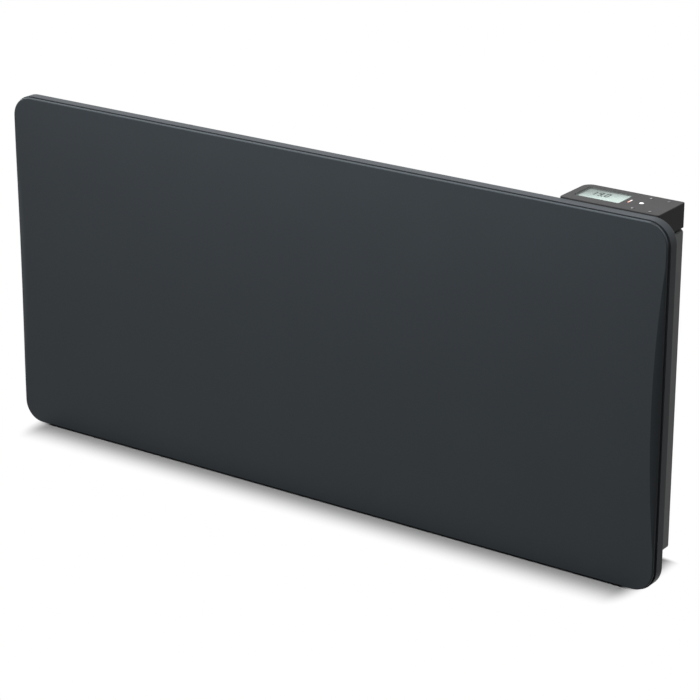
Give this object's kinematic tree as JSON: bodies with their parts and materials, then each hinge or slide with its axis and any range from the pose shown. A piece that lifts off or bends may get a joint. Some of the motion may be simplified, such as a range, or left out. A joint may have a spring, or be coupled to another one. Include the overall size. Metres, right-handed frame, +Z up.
{
  "type": "electric storage radiator",
  "caption": "Slim wall-hung electric radiator with a rounded flat front panel, ceramic storage core, control box with display and keys, and a hook-on wall bracket with latches.",
  "frame": {"origin": "on the wall, at the centre of the wall bracket's four screw slots", "axes": "+X to the radiator's right as seen from the front, +Y back into the wall, +Z up"},
  "size_m": [0.96, 0.0948, 0.4518],
  "materials": {
    "panel_paint": "satin powder coat, bluish anthracite",
    "gasket_rubber": "matte black foam rubber",
    "frame_paint": "satin powder coat, anthracite",
    "stud_steel": "zinc-plated steel",
    "screw_steel": "black zinc-plated steel",
    "casing_paint": "fine powder coat, anthracite grey",
    "element_steel": "heat-stained stainless tube",
    "bush_ceramic": "white steatite",
    "terminal_steel": "nickel-plated steel",
    "galvanised_sheet": "galvanised sheet, spangled",
    "reflector_aluminium": "bright rolled aluminium",
    "insulation_wool": "pale fibre board",
    "cutout_phenolic": "black phenolic and tin",
    "sensor_steel": "bright steel tube",
    "housing_plastic": "fine-grained dark grey plastic",
    "base_plastic": "black plastic",
    "window_glass": "clear flush window",
    "display_face": "pale aqua display with dark digits",
    "board_laminate": "green circuit board",
    "tact_plastic": "black plastic and tin",
    "light_plastic": "clear light guide, red and white",
    "part_plastic": "black moulded parts",
    "block_plastic": "natural polyamide",
    "switch_plastic": "glossy black plastic",
    "gland_plastic": "black polyamide",
    "bracket_steel": "black powder coat",
    "latch_plastic": "black glass-filled polyamide",
    "buffer_rubber": "black rubber",
    "key_plastic": "dark grey silicone-coated plastic",
    "select_key_plastic": "glossy white plastic",
    "lead_brown": "brown silicone sleeve",
    "lead_blue": "blue silicone sleeve",
    "lead_green_yellow": "green and yellow silicone sleeve",
    "lead_black": "black silicone sleeve",
    "ceramic": "fired ceramic, matte"
  },
  "bodies": {
    "root": {"front_panel": "panel_paint", "panel_gasket": "gasket_rubber", "front_frame": "frame_paint", "panel_studs": "stud_steel", "panel_screws": "screw_steel", "frame_screws": "screw_steel", "rear_casing": "casing_paint", "casing_screws": "screw_steel", "heating_element": "element_steel", "element_bushes": "bush_ceramic", "element_terminals": "terminal_steel", "core_shelf": "galvanised_sheet", "core_strap_left": "galvanised_sheet", "core_strap_middle": "galvanised_sheet", "core_strap_right": "galvanised_sheet", "reflector_tray": "reflector_aluminium", "insulation_board": "insulation_wool", "cutout_bracket": "galvanised_sheet", "thermal_cutout": "cutout_phenolic", "core_sensor": "sensor_steel", "control_housing": "housing_plastic", "control_base": "base_plastic", "control_screws": "screw_steel", "display_window": "window_glass", "display_module": "display_face", "display_board": "board_laminate", "tact_switches": "tact_plastic", "status_light": "light_plastic", "power_board": "board_laminate", "power_parts": "part_plastic", "terminal_block": "block_plastic", "switch_body": "switch_plastic", "cable_gland": "gland_plastic", "gland_nut": "gland_plastic", "bracket_rail_left": "bracket_steel", "bracket_rail_right": "bracket_steel", "bracket_crossbar": "bracket_steel", "bracket_rivets": "stud_steel", "wall_buffers": "buffer_rubber", "lead_cutout_feed": "lead_brown", "lead_element_live": "lead_brown", "lead_element_neutral": "lead_blue", "lead_earth": "lead_green_yellow", "lead_sensor": "lead_black", "core_brick_front_1": "ceramic", "core_brick_front_2": "ceramic", "core_brick_front_3": "ceramic", "core_brick_front_4": "ceramic", "core_brick_rear_1": "ceramic", "core_brick_rear_2": "ceramic", "core_brick_rear_3": "ceramic", "core_brick_rear_4": "ceramic"},
    "key_up": {"key_up": "key_plastic"},
    "key_down": {"key_down": "key_plastic"},
    "key_select": {"key_select": "select_key_plastic"},
    "key_power": {"key_power": "key_plastic"},
    "key_mode": {"key_mode": "key_plastic"},
    "switch_rocker": {"switch_rocker": "switch_plastic"},
    "bracket_latch_left": {"bracket_latch_left": "latch_plastic"},
    "bracket_latch_right": {"bracket_latch_right": "latch_plastic"}
  },
  "joints": [
    {"name": "key_up_press", "type": "slide", "parent": "root", "child": "key_up", "axis": [0, 0, -1], "range_m": [0, 0.0004], "stiffness_N_per_m": 1500, "springref_m": -0.0005},
    {"name": "key_down_press", "type": "slide", "parent": "root", "child": "key_down", "axis": [0, 0, -1], "range_m": [0, 0.0004], "stiffness_N_per_m": 1500, "springref_m": -0.0005},
    {"name": "key_select_press", "type": "slide", "parent": "root", "child": "key_select", "axis": [0, 0, -1], "range_m": [0, 0.0004], "stiffness_N_per_m": 1500, "springref_m": -0.0005},
    {"name": "key_power_press", "type": "slide", "parent": "root", "child": "key_power", "axis": [0, 0, -1], "range_m": [0, 0.0004], "stiffness_N_per_m": 1500, "springref_m": -0.0005},
    {"name": "key_mode_press", "type": "slide", "parent": "root", "child": "key_mode", "axis": [0, 0, -1], "range_m": [0, 0.0004], "stiffness_N_per_m": 1500, "springref_m": -0.0005},
    {"name": "mains_rocker", "type": "hinge", "parent": "root", "child": "switch_rocker", "pos_m": [0.3273, -0.04385, 0.21175], "axis": [0, 0, 1], "range_deg": [-18, 0]},
    {"name": "latch_left_turn", "type": "hinge", "parent": "root", "child": "bracket_latch_left", "pos_m": [-0.26, -0.0075, 0.19], "axis": [0, 0, 1], "range_deg": [0, 90]},
    {"name": "latch_right_turn", "type": "hinge", "parent": "root", "child": "bracket_latch_right", "pos_m": [0.26, -0.0075, 0.19], "axis": [0, 0, -1], "range_deg": [0, 90]}
  ]
}
